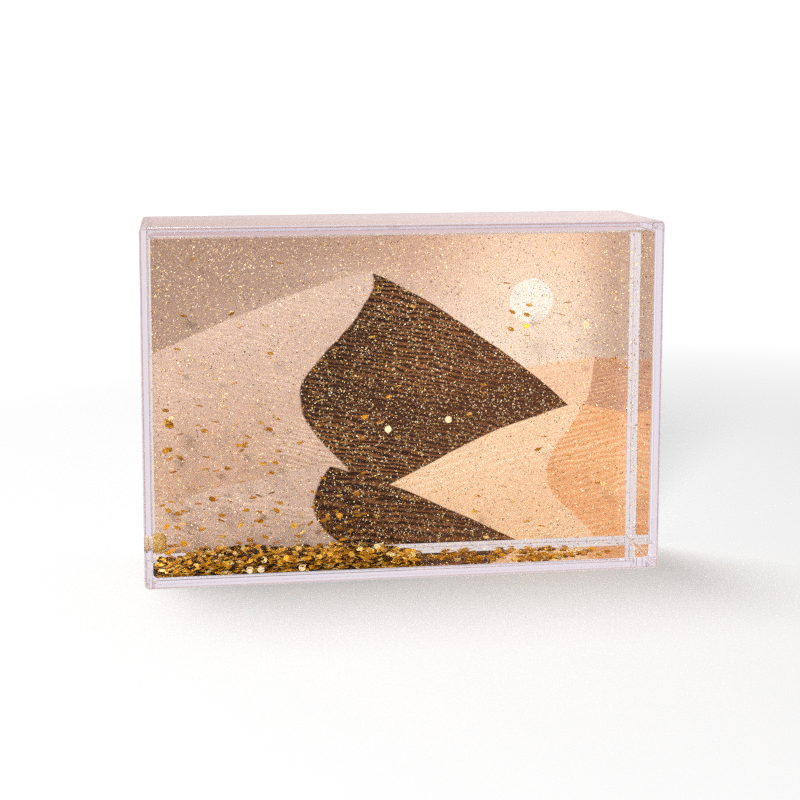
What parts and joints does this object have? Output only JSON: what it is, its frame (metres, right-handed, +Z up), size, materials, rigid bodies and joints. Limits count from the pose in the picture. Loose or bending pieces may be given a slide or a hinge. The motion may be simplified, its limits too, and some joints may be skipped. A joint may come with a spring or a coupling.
{
  "type": "liquid-filled photo frame",
  "caption": "Clear block photo frame with a sealed chamber of liquid and gold glitter in front of a landscape print, and a rear insert that pulls out to change the print.",
  "frame": {"origin": "middle of the base, on the surface that the frame stands on", "axes": "+X along the long side, to the right seen from the front; +Y from the front face to the rear; +Z up"},
  "size_m": [0.1596, 0.04, 0.1092],
  "materials": {
    "clear_plastic": "clear, polished",
    "clear_sheet": "clear, polished",
    "clear_glue": "clear glue line",
    "plug_rubber": "soft, translucent",
    "sealant": "clear sealant",
    "liquid": "clear liquid",
    "glitter_bed": "metallised gold flakes, heaped",
    "glitter_flake": "metallised gold film",
    "print_paper": "semi-gloss printed card",
    "clear_insert": "clear, polished"
  },
  "bodies": {
    "case": {"clear_case": "clear_plastic", "chamber_plate": "clear_sheet", "bond_bead": "clear_glue", "fill_plug": "plug_rubber", "plug_sealant": "sealant", "liquid_fill": "liquid", "settled_glitter": "glitter_bed", "floating_flakes": "glitter_flake"},
    "insert": {"rear_insert": "clear_insert", "photo_print": "print_paper"}
  },
  "joints": [
    {"name": "rear_insert_pull", "type": "slide", "parent": "case", "child": "insert", "axis": [0, 1, 0], "range_m": [0, 0.016]}
  ]
}
